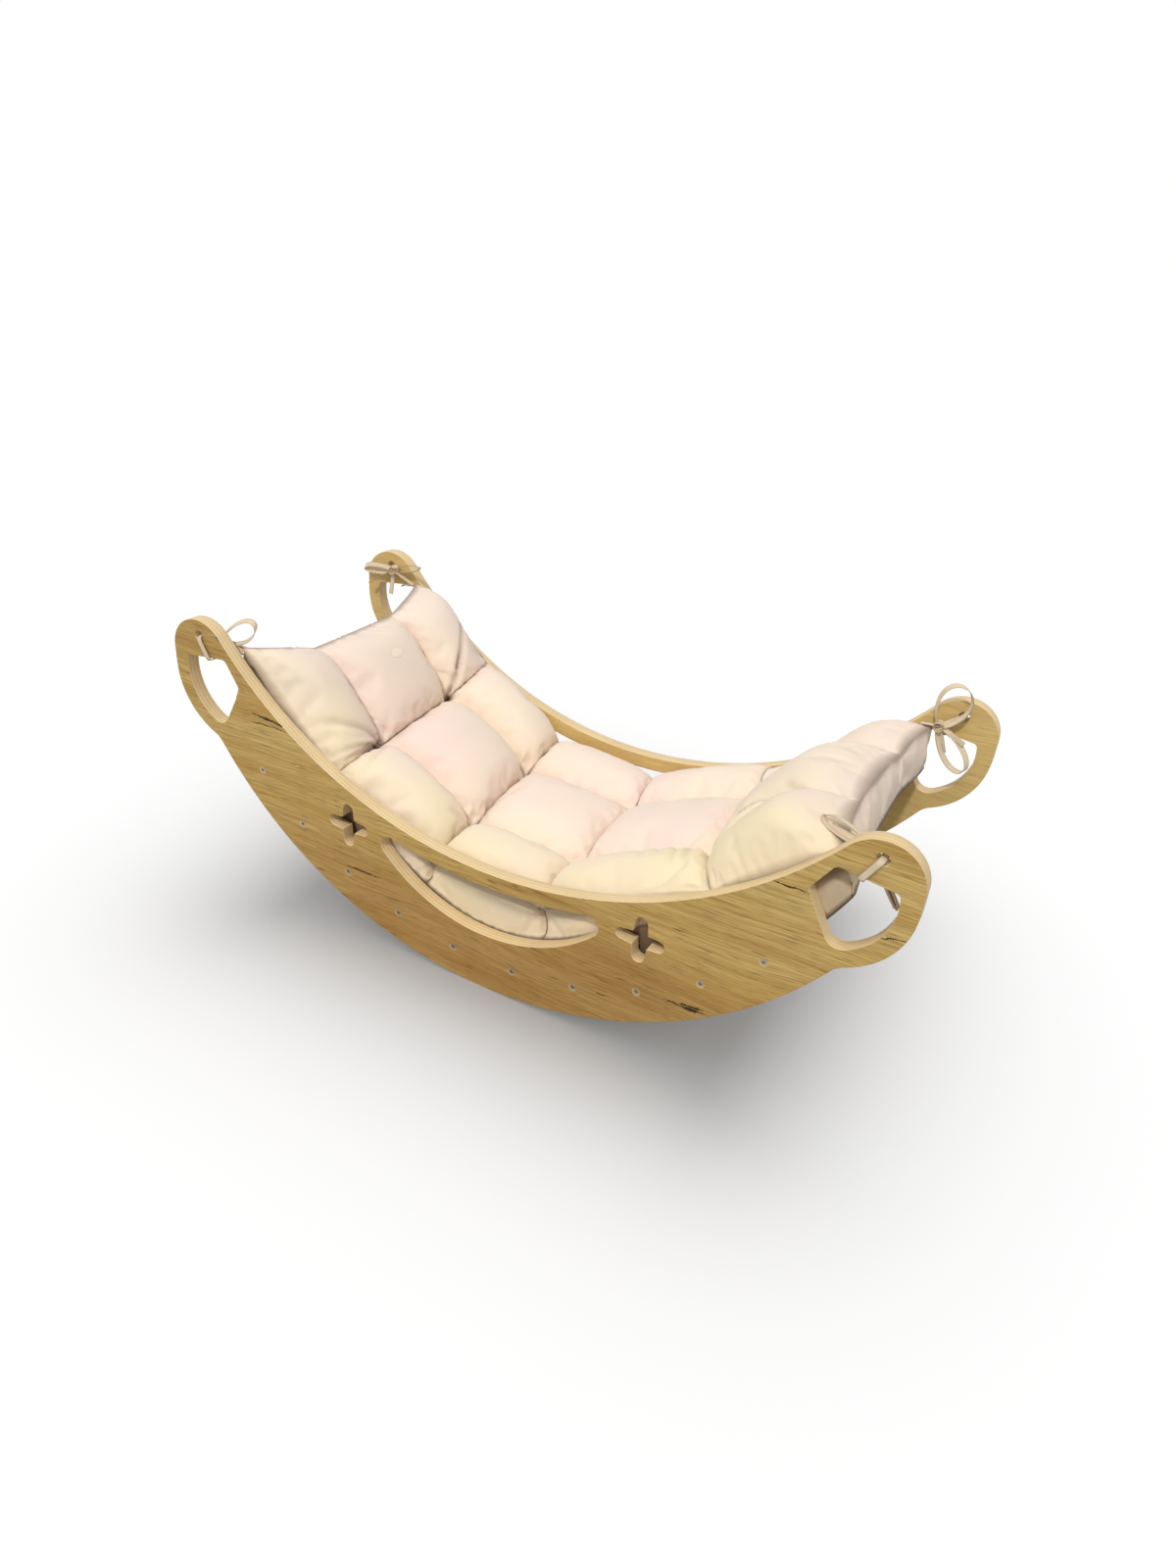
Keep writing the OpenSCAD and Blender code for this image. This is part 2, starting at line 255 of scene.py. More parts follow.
start_fresh()
bpy.ops.mesh.primitive_plane_add(size=floor_size)
floor = added("floor")
paper = new_finish("studio_paper", Base_Color=(floor_grey,) * 3 + (1,), Roughness=0.9)
away = by_vector(paper, "ABSOLUTE", places(paper, (1, 1, 0))).outputs[0]
away = by_vector(paper, "SUBTRACT", away, shadow_half).outputs[0]
away = by_vector(paper, "MAXIMUM", away).outputs[0]
distance = by_vector(paper, "LENGTH", away).outputs["Value"]
fade = reckon(paper, "POWER", reckon(paper, "DIVIDE", distance, fade_length), fade_power)
fade = reckon(paper, "EXPONENT", reckon(paper, "MULTIPLY", fade, -1), 0)
# painted shadow: the glow is lowest beside the rocker and rises with the distance
lift = spread(paper, fade, 1, 0, near_lift, far_lift)
shader_of(paper).inputs["Emission Color"].default_value = (1, 1, 1, 1)
paper.node_tree.links.new(reckon(paper, "MULTIPLY", shown_or_mirrored(paper), lift),
                          shader_of(paper).inputs["Emission Strength"])
floor.data.materials.append(paper)

# %% [markdown]
# The sky is the main light, strongest from above and a little from the front. The key lamp is
# a sun in front, to the right: it brightens all that faces it and throws the shadow of the
# board's edge into the slot. The photograph's floor shows no shadow of such a lamp, so it
# lights the rocker only, through light linking: it shines on what is in its collection.

# %% Sky and lamps
sky_from = Vector((-0.10, -0.25, 0.9)).normalized()
sky_weak, sky_strong = 0.31, 0.90

world = bpy.data.worlds.new("studio")
world.use_nodes = True
bpy.context.scene.world = world
sky = world.node_tree.nodes["Background"]
sky.inputs["Color"].default_value = (1, 1, 1, 1)
direction = wire(world, "TexCoord", {}).outputs["Generated"]
facing = by_vector(world, "DOT_PRODUCT", direction, sky_from).outputs["Value"]
as_light = spread(world, facing, -0.4, 1, sky_weak, sky_strong)
strength = wire(world, "Mix", {0: shown_or_mirrored(world), 2: as_light, 3: 1.0}).outputs[0]
world.node_tree.links.new(strength, sky.inputs["Strength"])

key_from = Vector((0.2, -1.9, 2.4))
key_power = 1.45
key_softness = 5                 # degrees across

start_fresh()
bpy.ops.object.light_add(type="SUN", location=key_from,
                         rotation=key_from.to_track_quat("Z", "Y").to_euler())
key = added("key_light")
key.data.energy = key_power
key.data.angle = math.radians(key_softness)
key.light_linking.receiver_collection = lit_by_key
bpy.context.scene.view_settings.view_transform = "Standard"

# %% [markdown]
# ## Oak decor
# Both faces of each side are covered with an oak decor: golden wood whose grain runs along
# the rocker, with fine dark fibres, browner parts and a few black cracks. An image would be
# the usual way. Here stretched noise does it: a noise that is long in X and fine in Z looks
# like grain, and a slow noise that pushes it up and down gives the grain its waves.

# %% Oak colours and the grain's coordinates
oak_painted_lit = shade(232, 204, 138)
oak_pale = shade(221, 191, 120)
oak_mid = shade(201, 164, 90)
oak_brown = shade(150, 106, 52)
oak_pore = shade(104, 70, 34)
oak_russet = shade(172, 124, 68)
crack_black = shade(44, 26, 14)

oak = new_finish("oak_decor", Roughness=0.5, Specular_IOR_Level=0.2)
wander = spread(oak, cloudy(oak, places(oak, (1.7, 3, 7)), 3), 0, 1, -0.035, 0.035)
axes = wire(oak, "SeparateXYZ", {0: places(oak, (1, 1, 1))})
height = reckon(oak, "ADD", axes.outputs[2], wander)
wavy = wire(oak, "CombineXYZ", {0: axes.outputs[0], 1: axes.outputs[1], 2: height}).outputs[0]


def grain(scale):
    return by_vector(oak, "MULTIPLY", wavy, scale).outputs[0]


# %% [markdown]
# The grain is built from the coarse to the fine: pale and deeper bands, two wide russet parts
# low on the board, browner parts, dark streaks a hand long, fibres a millimetre or two thick,
# and short pores. Each is laid over the last with a share of its own.

# %% Grain
brown_heart = (                  # centre x and z, half size, and share
    ((-0.08, 0.05), (0.34, 0.09), 0.60), ((0.20, 0.10), (0.12, 0.06), 0.35))
bands = spread(oak, cloudy(oak, grain((1.6, 9, 24)), 3, 0.55), 0.34, 0.66)
brown_parts = spread(oak, cloudy(oak, grain((1.4, 4, 5)), 3, 0.55), 0.50, 0.68)
streaks = spread(oak, cloudy(oak, grain((3.2, 20, 120)), 3, 0.62), 0.50, 0.72)
fibres = spread(oak, cloudy(oak, grain((8, 50, 330)), 3, 0.65), 0.42, 0.66)
threads = spread(oak, cloudy(oak, grain((16, 60, 900)), 2, 0.6), 0.40, 0.65)
pores = spread(oak, cloudy(oak, grain((34, 60, 760)), 1, 0.5), 0.62, 0.70)

wood = blend(oak, bands, oak_mid, oak_pale)
for centre, size, share in brown_heart:
    middle_of = (centre[0], 0, centre[1])
    reach = by_vector(oak, "SUBTRACT", places(oak, (1, 0, 1)), middle_of).outputs[0]
    reach = by_vector(oak, "DIVIDE", reach, (size[0], 1, size[1])).outputs[0]
    inside = spread(oak, by_vector(oak, "LENGTH", reach).outputs["Value"], 1.3, 0.3)
    wood = blend(oak, reckon(oak, "MULTIPLY", inside, share), wood, oak_russet)
wood = blend(oak, reckon(oak, "MULTIPLY", brown_parts, 0.50), wood, oak_brown)
wood = blend(oak, reckon(oak, "MULTIPLY", streaks, 0.45), wood, oak_brown)
wood = blend(oak, reckon(oak, "MULTIPLY", fibres, 0.46), wood, oak_brown)
wood = blend(oak, reckon(oak, "MULTIPLY", threads, 0.34), wood, oak_pore)
wood = blend(oak, reckon(oak, "MULTIPLY", pores, 0.65), wood, oak_pore)

# %% [markdown]
# ## Cracks in the oak
# The decor shows about ten dark drying cracks, all along the grain. Each is given by its two
# ends on the front face. A point is in a crack when its distance from the line between them is
# less than half the crack's width, which is greatest halfway and nothing at both ends. The
# rear board shows the same decor a little shifted. It is also painted paler all over: painted
# light, which brightens its inner face.

# %% Cracks
crack_lines = (                  # from x, z to x, z, and width, in millimetres
    (-357, 274, -292, 269, 3.4), (-357, 262, -315, 263, 2.2), (-325, 266, -296, 262, 2.2),
    (-212, 100, -152, 101, 2.4), (325, 295, 376, 294, 2.2), (444, 273, 477, 280, 2.0),
    (255, 96, 293, 98, 4.2), (258, 100, 290, 102, 3.2), (238, 97, 263, 97, 2.2),
    (156, 64, 172, 67, 2.4), (-406, 363, -380, 351, 3.4))
crack_edge = 0.3 * mm
rear_shift = 90 * mm
rear_painted_light = 0.45
outer_part = 190 * mm

on_outside = reckon(oak, "GREATER_THAN", reckon(oak, "ABSOLUTE", axes.outputs[1], 0), outer_part)
is_rear = reckon(oak, "GREATER_THAN", axes.outputs[1], 0)
crack_x = reckon(oak, "ADD", axes.outputs[0], reckon(oak, "MULTIPLY", is_rear, rear_shift))
ragged = spread(oak, cloudy(oak, places(oak, (70, 70, 160)), 3, 0.7), 0, 1, -0.004, 0.004)
crack_z = reckon(oak, "ADD", axes.outputs[2], ragged)
on_board = wire(oak, "CombineXYZ", {0: crack_x, 1: 0.0, 2: crack_z}).outputs[0]


def crack(x1, z1, x2, z2, width):
    """1 inside one crack, 0 outside it."""
    start, run = Vector((x1, 0, z1)) * mm, Vector((x2 - x1, 0, z2 - z1)) * mm
    sideways = Vector((-run.z, 0, run.x)).normalized()
    reach = by_vector(oak, "SUBTRACT", on_board, start).outputs[0]
    along = by_vector(oak, "DOT_PRODUCT", reach, run / run.length_squared).outputs["Value"]
    aside = by_vector(oak, "DOT_PRODUCT", reach, sideways).outputs["Value"]
    room = reckon(oak, "MULTIPLY", along, reckon(oak, "SUBTRACT", 1, along))
    room = reckon(oak, "MULTIPLY", room, 2 * width * mm)
    inside = reckon(oak, "SUBTRACT", room, reckon(oak, "ABSOLUTE", aside, 0))
    return spread(oak, inside, 0, crack_edge)


# painted light: the rear board is blended towards a paler oak all over
wood = blend(oak, reckon(oak, "MULTIPLY", is_rear, rear_painted_light), wood, oak_painted_lit)
cracks = crack(*crack_lines[0])
for line in crack_lines[1:]:
    cracks = reckon(oak, "MAXIMUM", cracks, crack(*line))
cracks = reckon(oak, "MULTIPLY", cracks, on_outside)
colour_with(oak, blend(oak, reckon(oak, "MULTIPLY", cracks, 0.95), wood, crack_black))
relief = reckon(oak, "SUBTRACT", fibres, reckon(oak, "ADD", pores, cracks))
rough_up(oak, relief, 0.12 * mm)

# %% [markdown]
# ## The plywood's cut edge
# Where the board is cut, its layers show as fine lines along the edge. The layers lie across
# Y, so a wave along Y draws them, and noise along the edge makes them uneven.

# %% Plywood material
ply_pale = shade(234, 210, 164)
ply_dark = shade(206, 174, 124)
ply_layer = 2.6 * mm

plies = new_finish("plywood_edge", Roughness=0.55, Specular_IOR_Level=0.35)
layer_turns = math.pi / ply_layer
axes = wire(plies, "SeparateXYZ", {0: places(plies, (1, 1, 1))})
waver = spread(plies, cloudy(plies, places(plies, (30, 8, 30)), 2), 0, 1, -0.4, 0.4)
phase = wire(plies, "Math", {0: axes.outputs[1], 1: layer_turns, 2: waver},
             operation="MULTIPLY_ADD").outputs[0]
lines = spread(plies, reckon(plies, "SINE", phase, 0), 0.1, 0.9)
ends = spread(plies, cloudy(plies, places(plies, (260, 900, 260)), 2, 0.6), 0.35, 0.7)
tone = cloudy(plies, places(plies, (14, 40, 14)), 2)
cut = blend(plies, spread(plies, tone, 0.3, 0.7, 0, 0.35), ply_pale, ply_dark)
cut = blend(plies, reckon(plies, "MULTIPLY", lines, 0.55), cut, ply_dark)
cut = blend(plies, reckon(plies, "MULTIPLY", ends, 0.18), cut, ply_dark)
colour_with(plies, cut)
rough_up(plies, reckon(plies, "ADD", lines, ends), 0.08 * mm)

# %% [markdown]
# ## The two sides
# Each side is an 18 mm board, cut on a router: a rolling edge below, two handles, a carrying
# slot and two stars. The frame already holds that exact shape, so a copy of its node is the
# start. The copy's loose triangles are merged and flattened into clean faces, and then every
# sharp edge gets the small round that sandpaper leaves, which catches the light.

# %% Model the sides
arris = 1.1 * mm
flat_enough = 0.9


def side(node, name):
    board = pick(copy_of(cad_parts[node], name))
    bpy.ops.object.mode_set(mode="EDIT")
    bpy.ops.mesh.select_all(action="SELECT")
    bpy.ops.mesh.remove_doubles(threshold=0.01 * mm)
    bpy.ops.mesh.dissolve_limited(angle_limit=math.radians(0.1))
    bpy.ops.object.mode_set(mode="OBJECT")
    modify(board, "BEVEL", width=arris, segments=2, limit_method="ANGLE",
           angle_limit=math.radians(40), harden_normals=True)
    board.data.materials.clear()
    board.data.materials.append(oak)
    board.data.materials.append(plies)
    for face in board.data.polygons:
        face.material_index = 0 if abs(face.normal.y) > flat_enough else 1
    hand_over(board, "oak_faced_plywood", node)


side("front_side_panel", "front_side")
side("rear_side_panel", "rear_side")

# %% [markdown]
# ## Beech
# The rungs are turned from beech, which is paler and plainer than oak: a fine straight grain
# along the rung and tiny dark flecks.

# %% Beech material
beech_pale = shade(236, 208, 164)
beech_dark = shade(206, 168, 118)

beech = new_finish("beech", Roughness=0.45, Specular_IOR_Level=0.4)
long_grain = cloudy(beech, places(beech, (160, 4, 160)), 3, 0.6)
flecks = spread(beech, cloudy(beech, places(beech, (900, 70, 900)), 1), 0.62, 0.72)
rod = blend(beech, spread(beech, long_grain, 0.35, 0.65), beech_pale, beech_dark)
rod = blend(beech, reckon(beech, "MULTIPLY", flecks, 0.35), rod, oak_brown)
colour_with(beech, rod)
rough_up(beech, long_grain, 0.06 * mm)

# %% [markdown]
# ## The rungs
# All ten rungs are alike, so one is modelled at the origin and copied. A cylinder is the
# start: its two ends are inset down to the screw's bore and pushed in, as a drill would, and
# the outer rims get a small chamfer. Each copy then goes where the frame has its rung.

# %% Model one rung and copy it
rung_names = sorted(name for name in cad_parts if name.startswith("rung_"))
low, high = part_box(rung_names[0])
rung_radius = (high.x - low.x) / 2
rung_length = high.y - low.y
bore_radius = 2 * mm
bore_depth = 34 * mm

start_fresh()
bpy.ops.mesh.primitive_cylinder_add(vertices=64, radius=rung_radius, depth=rung_length,
                                    rotation=(math.pi / 2, 0, 0))
pattern = added("rung")
settle(pattern)
bpy.ops.object.mode_set(mode="EDIT")
for end in (-1, 1):
    select_faces(pattern, lambda face: face.normal.y * end > flat_enough)
    bpy.ops.mesh.inset(thickness=rung_radius - bore_radius)
    bpy.ops.mesh.extrude_region_move(
        TRANSFORM_OT_translate={"value": (0, -end * bore_depth, 0)})
bpy.ops.object.mode_set(mode="OBJECT")
modify(pattern, "BEVEL", width=0.8 * mm, segments=2, limit_method="ANGLE",
       angle_limit=math.radians(60))
pattern.data.materials.append(beech)
smooth(pattern, 40)

for name in rung_names:
    low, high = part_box(name)
    rung = copy_of(pattern, name + "_beech")
    rung.data.transform(Matrix.Translation((low + high) / 2))
    hand_over(rung, "beech", name)
bpy.data.objects.remove(pattern)

# %% [markdown]
# ## The arc
# The rungs lie on a circle about the centre of the rolling edge. Two of them are enough to
# find its height. The cushion and the screws are placed by an angle on that circle, measured
# from straight down, and by a height above the tops of the rungs.

# %% Find the arc
def middle(node):
    low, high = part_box(node)
    return (low + high) / 2


outer, inner = middle(rung_names[0]), middle(rung_names[4])
arc_z = ((outer.x ** 2 + outer.z ** 2 - inner.x ** 2 - inner.z ** 2)
         / (2 * (outer.z - inner.z)))
rung_circle = math.hypot(inner.x, arc_z - inner.z)
seat_radius = rung_circle - rung_radius
inner_face = -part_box("front_side_panel")[1].y
outer_face = -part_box("front_side_panel")[0].y
print("arc centre", round(arc_z, 4), "seat radius", round(seat_radius, 4))


def on_arc(degrees, across, above):
    turn = math.radians(degrees)
    reach = seat_radius - above
    return Vector((reach * math.sin(turn), across, arc_z - reach * math.cos(turn)))


# %% [markdown]
# ## The screws
# Twenty steel screws hold the rungs. Only their heads show: a small silvery disc, flush with
# the oak, with a hexagon socket. One is spun up from a cylinder: the head end is inset and
# pressed in as a round socket, and the far end is drawn to a point.

# %% Screw material
steel = new_finish("screw_steel", Base_Color=shade(172, 160, 138), Metallic=1.0, Roughness=0.28)
turned = cloudy(steel, places(steel, (900, 900, 900)), 2)
rough_up(steel, turned, 0.02 * mm)

# %% Model one screw and copy it
head_radius = 4.5 * mm
shank_radius = 2 * mm
screw_length = 50 * mm
point_length = 5 * mm
socket_radius = 1.7 * mm
socket_depth = 2 * mm
sunk = 0.3 * mm


start_fresh()
bpy.ops.mesh.primitive_cylinder_add(vertices=24, radius=head_radius, depth=0.2 * mm)
pattern = added("screw")
bpy.ops.object.mode_set(mode="EDIT")
select_faces(pattern, lambda face: face.normal.z > flat_enough)


def extrude_up(step, scale):
    bpy.ops.mesh.extrude_region_move(TRANSFORM_OT_translate={"value": (0, 0, step)})
    bpy.ops.transform.resize(value=(scale, scale, 1))


extrude_up(head_radius - shank_radius, shank_radius / head_radius)
extrude_up(screw_length - point_length - (head_radius - shank_radius), 1)
extrude_up(point_length, 0.25)
select_faces(pattern, lambda face: face.normal.z < -flat_enough)
bpy.ops.mesh.inset(thickness=0.5 * mm, depth=0)
bpy.ops.mesh.inset(thickness=head_radius - 0.5 * mm - socket_radius, depth=0)
bpy.ops.mesh.extrude_region_move(TRANSFORM_OT_translate={"value": (0, 0, socket_depth)})
bpy.ops.object.mode_set(mode="OBJECT")
modify(pattern, "BEVEL", width=0.18 * mm, segments=2, limit_method="ANGLE",
       angle_limit=math.radians(50))
pattern.data.materials.append(steel)
smooth(pattern, 35)

for node, end in (("front_rung_screws", -1), ("rear_rung_screws", 1)):
    twins = []
    for name in rung_names:
        twin = copy_of(pattern, node + "_steel")
        centre = middle(name)
        turn = Matrix.Rotation(end * math.pi / 2, 4, "X")
        place = Matrix.Translation((centre.x, end * (outer_face - sunk), centre.z))
        twin.data.transform(place @ turn)
        twins.append(twin)
    start_fresh()
    for twin in twins:
        twin.select_set(True)
    bpy.context.view_layer.objects.active = twins[0]
    bpy.ops.object.join()
    hand_over(twins[0], "screw_steel", node)
bpy.data.objects.remove(pattern)

# %% [markdown]
# ## Cotton
# The cover is plain cream cotton, tight and smooth, with a faint pinkish cast that turns to
# straw along the near side, and most towards the right end. Two waves at right angles give the
# weave, fine enough to be felt more than seen, and a slow noise moves the colour a little.

# %% Cotton material
cotton_cream = shade(249, 231, 208)
cotton_rose = shade(247, 224, 211)
cotton_straw = shade(249, 232, 184)
painted_shade_brown = shade(104, 70, 38)
straw_turn = -8                  # degrees between the straw's edge and the rocker's length
straw_from, straw_full = -0.08, -0.19
straw_share = 0.66
thread = 0.55 * mm

cotton = new_finish("cushion_cotton", Roughness=0.85, Specular_IOR_Level=0.2,
                    Sheen_Weight=0.2, Sheen_Roughness=0.5)
cast = spread(cotton, cloudy(cotton, places(cotton, (5, 5, 5)), 2), 0.36, 0.64)
creamy = blend(cotton, cast, cotton_cream, cotton_rose)
aslant = places(cotton, (1, 1, 1), (0, 0, straw_turn))
sideways = wire(cotton, "SeparateXYZ", {0: aslant}).outputs[1]
drift = spread(cotton, cloudy(cotton, places(cotton, (5, 5, 5)), 2), 0, 1, -0.12, 0.12)
sideways = reckon(cotton, "ADD", sideways, drift)
straw = spread(cotton, sideways, straw_from, straw_full, 0, straw_share)
creamy = blend(cotton, straw, creamy, cotton_straw)
# painted shade: the cushion's attribute turns the cream to brown in creases and shadows
dark = wire(cotton, "Attribute", {}, attribute_name="painted_shade").outputs["Fac"]
colour_with(cotton, blend(cotton, dark, creamy, painted_shade_brown))
weave_turns = 2 * math.pi / thread
axes = wire(cotton, "SeparateXYZ", {0: places(cotton, (weave_turns,) * 3)})
along = reckon(cotton, "SINE", axes.outputs[0], 0)
across = reckon(cotton, "SINE", axes.outputs[1], 0)
upward = reckon(cotton, "SINE", axes.outputs[2], 0)
weave = reckon(cotton, "MULTIPLY", reckon(cotton, "ADD", along, upward), across)
slubs = cloudy(cotton, places(cotton, (140, 700, 140)), 3)
rough_up(cotton, reckon(cotton, "ADD", weave, slubs), 0.05 * mm)

# %% [markdown]
# ## The cushion's net
# The cushion is a long box of cloth, three pillows across and five along, sewn through at the
# eight places where the seams between pillows cross. It is made flat first, as its maker cuts
# it: a grid whose squares are counted, not measured, with the walls extruded row by row. Then
# a formula carries each point of that net to its real place on the arc.
#
# Extruding leaves the edges and faces in another order on every run, and the simulation adds up
# its forces in that order. So they are sorted by their points, and each run ends the same.

# %% Make the net
line_across = (-178, -80, 80, 178)
cells_along = 48
cells_across = (28, 44, 28)
wall_rows = 10

line_cells = [row * cells_along for row in range(6)]
column_cells = [sum(cells_across[:count]) for count in range(4)]
long_cells, wide_cells = line_cells[-1], column_cells[-1]

start_fresh()
bpy.ops.mesh.primitive_grid_add(x_subdivisions=long_cells, y_subdivisions=wide_cells, size=2,
                                location=(long_cells / 2, wide_cells / 2, 0))
cushion = added("cushion_cover")
cushion.scale = (long_cells / 2, wide_cells / 2, 1)
settle(cushion)
bpy.ops.object.mode_set(mode="EDIT")
bpy.ops.mesh.select_all(action="SELECT")
for row in range(wall_rows):
    bpy.ops.mesh.extrude_region_move(TRANSFORM_OT_translate={"value": (0, 0, 1)})
bpy.ops.mesh.select_all(action="SELECT")
bpy.ops.mesh.normals_make_consistent(inside=False)
net = bmesh.from_edit_mesh(cushion.data)
net.verts.index_update()
for parts in (net.edges, net.faces):
    in_order = sorted(parts, key=lambda part: sorted(point.index for point in part.verts))
    for number, part in enumerate(in_order):
        part.index = number
    parts.sort()
bmesh.update_edit_mesh(cushion.data)
bpy.ops.object.mode_set(mode="OBJECT")
print("net:", len(cushion.data.vertices), "points")

# %% [markdown]
# ## The pillows
# The net's main crossings are its posts: tufts inside, seams outside. Each has its own angle on
# the arc and its own height above the rungs. Between two posts the cloth arches a little, and
# inside four of them stands a dome, which rises steeply from all four sides. So neighbours meet
# in a sharp crease, and every tuft lies at the bottom of a funnel.

# %% Shape of the upper cloth
posts = (                        # degrees and mm, a row for each line, from front to rear
    ((-67.8, 33), (-63.2, 46), (-63.2, 44), (-67.0, 28)),
    ((-40.0, 64), (-40.5, 62), (-42.1, 56), (-44.5, 82)),
    ((-14.0, 68), (-15.0, 58), (-17.5, 56), (-18.5, 72)),
    ((10.0, 70), (10.0, 66), (9.3, 72), (8.0, 74)),
    ((46.0, 66), (40.3, 70), (39.0, 68), (37.0, 86)),
    ((67.0, 14), (67.4, 32), (66.5, 23), (67.6, 10)))
crowns = (                       # mm, a row for each row of pillows, from front to rear
    (100, 100, 100), (121, 121, 121), (112, 112, 112), (115, 115, 115), (104, 104, 78))
arch_along = (                   # mm, a row for each row of pillows, along its four lines
    (8, 14, 14, 14), (14, 14, 14, 18), (18, 14, 14, 18), (18, 14, 14, 18), (8, 58, 34, 14))
arch_across = (4, 14, 14, 14, 14, 3)         # mm, along each line of posts that runs across
roundness, end_roundness = 2.4, 3.2
arch_fullness = 0.8
closeness = 0.55


def share_between(value, marks):
    """Which span of marks a value is in, and how far along it, with steps closer at the ends."""
    for span in range(len(marks) - 1):
        if value <= marks[span + 1]:
            break
    share = (value - marks[span]) / (marks[span + 1] - marks[span])
    return span, share - closeness * math.sin(2 * math.pi * share) / (2 * math.pi)


def mixed(one, other, share):
    return one + (other - one) * share


def arch(share):
    return max(math.sin(math.pi * share), 0) ** arch_fullness


def dome(u, v, blunt=roundness):
    """1 in the middle of a pillow, 0 along its four sides."""
    return ((1 - abs(2 * u - 1) ** blunt) * (1 - abs(2 * v - 1) ** roundness)) ** 0.5


def between_posts(row, column, u, v, part):
    front = mixed(posts[row][column][part], posts[row + 1][column][part], u)
    rear = mixed(posts[row][column + 1][part], posts[row + 1][column + 1][part], u)
    return mixed(front, rear, v)


def top_height(row, column, u, v):
    along = mixed(arch_along[row][column], arch_along[row][column + 1], v) * arch(u)
    across = mixed(arch_across[row], arch_across[row + 1], u) * arch(v)
    base = between_posts(row, column, u, v, 1) + max(along, across)
    blunt = end_roundness if row + u > len(crowns) - 0.5 else roundness
    return base + max(crowns[row][column] - base, 0) * dome(u, v, blunt)


# %% [markdown]
# ## Underside and walls
# Below, the cloth lies flat on the rungs and is drawn up where it is sewn through. Its lower
# seam stands a little above the rungs, lowest in the middle of the rocker, and the cloth falls
# from it steeply. Past the last rungs it hangs down, most at the four corners. Both ends lean
# back, because the ties pull at the upper seam alone. At each line of tufts the side walls are
# gathered in.

# %% Place every point of the net
lower_seam = 19
seam_lift = 36
rim_cells = 6
under_draw = 16
end_hang = 27
corner_hang = 8
hang_from, hang_to = 49, 58
left_lean, right_lean = (0.108, 0.05), (0.05, 0.095)     # near side, and middle to far side
lean_from, lean_to = 50, 67
gather = 13
gather_cells = 2.2


def eased(value, low, high):
    share = min(max((value - low) / (high - low), 0), 1)
    return share * share * (3 - 2 * share)


def aside(across):
    """0 up to the tufts, 1 at the cushion's two long sides."""
    return eased(abs(across), line_across[2], line_across[3])


def under_height(u, v, degrees, across, rim):
    past_rungs = eased(abs(degrees), hang_from, hang_to)
    resting = under_draw * (1 - min(1, 1.6 * dome(u, v))) + lower_seam * past_rungs
    seam = lower_seam + seam_lift * math.sin(math.radians(min(3 * abs(degrees), 180))) ** 2
    hanging = (end_hang + corner_hang * aside(across)) * past_rungs
    return mixed(resting, seam, rim) - hanging


def cushion_point(i, j, k):
    row, u = share_between(i, line_cells)
    column, v = share_between(j, column_cells)
    degrees = between_posts(row, column, u, v, 0)
    across = mixed(line_across[column], line_across[column + 1], v)
    from_rim = min(i, long_cells - i, j, wide_cells - j, rim_cells)
    rim = (1 - from_rim / rim_cells) ** 1.5
    height = mixed(under_height(u, v, degrees, across, rim),
                   top_height(row, column, u, v), k / wall_rows)
    lean = mixed(*(left_lean if degrees < 0 else right_lean), min(2 * j / wide_cells, 1))
    degrees *= 1 - lean * eased(abs(degrees), lean_from, lean_to) * (1 - k / wall_rows)
    if j in (0, wide_cells):
        near = min(abs(i - cell) for cell in line_cells[1:-1])
        drawn = gather * math.exp(-(near / gather_cells) ** 2) * arch(k / wall_rows) ** 0.6
        across -= math.copysign(drawn, across)
    return on_arc(degrees, across * mm, height * mm)


net_places = [tuple(round(part) for part in point.co) for point in cushion.data.vertices]
for point, place in zip(cushion.data.vertices, net_places):
    point.co = cushion_point(*place)

# %% [markdown]
# ## Filling it
# Pressure inside the cloth does the rest, as the filling does. The tufts and the underside
# are held fast, creases and seams are held loosely, and the cloth is made a few per cent too
# large for its shape, so that it puckers where it is held. How far a point may move is capped,
# and the boards on both sides stop the cloth, which lies against them.

# %% Simulate the filling
hold_crease = 0.75
hold_seam = 0.9
hold_gather = 0.6
cloth_frames = 20
travel = 10 * mm
board_gap = 0.4 * mm
tuft_size = 1.5


def hold(i, j, k):
    """How firmly a point of the net is held, from 0 to 1."""
    if k == 0:
        return 1
    border = i in (0, long_cells) or j in (0, wide_cells)
    if border and k < wall_rows:
        return hold_gather if i in line_cells[1:-1] else 0
    if border:
        return hold_seam
    beside_line = min(abs(i - cell) for cell in line_cells)
    beside_column = min(abs(j - cell) for cell in column_cells)
    if math.hypot(beside_line, beside_column) < tuft_size:
        return 1
    return hold_crease if min(beside_line, beside_column) == 0 else 0


held = cushion.vertex_groups.new(name="held")
for index, place in enumerate(net_places):
    if hold(*place):
        held.add([index], hold(*place), "REPLACE")

before = [point.co.copy() for point in cushion.data.vertices]
pick(cushion)
bpy.ops.object.modifier_add(type="CLOTH")
cloth = cushion.modifiers[-1]
cloth.settings.quality = 5
cloth.settings.mass = 0.1
cloth.settings.tension_stiffness = 10
cloth.settings.compression_stiffness = 10
cloth.settings.shear_stiffness = 4
cloth.settings.bending_stiffness = 0.6
cloth.settings.vertex_group_mass = held.name
cloth.settings.pin_stiffness = 1.0
cloth.settings.shrink_min = -0.03
cloth.settings.use_pressure = True
cloth.settings.uniform_pressure_force = 4
cloth.settings.effector_weights.gravity = 0
cloth.collision_settings.use_collision = False
for step in range(1, cloth_frames + 1):
    bpy.context.scene.frame_set(step)
bpy.ops.object.modifier_apply(modifier=cloth.name)
moved = 0
for point, old in zip(cushion.data.vertices, before):
    shift = point.co - old
    moved = max(moved, shift.length)
    point.co = old + shift * min(1, travel / max(shift.length, 1e-9))
bpy.context.scene.frame_set(1)
print("the filling moved the cloth up to", round(moved / mm, 1), "mm")

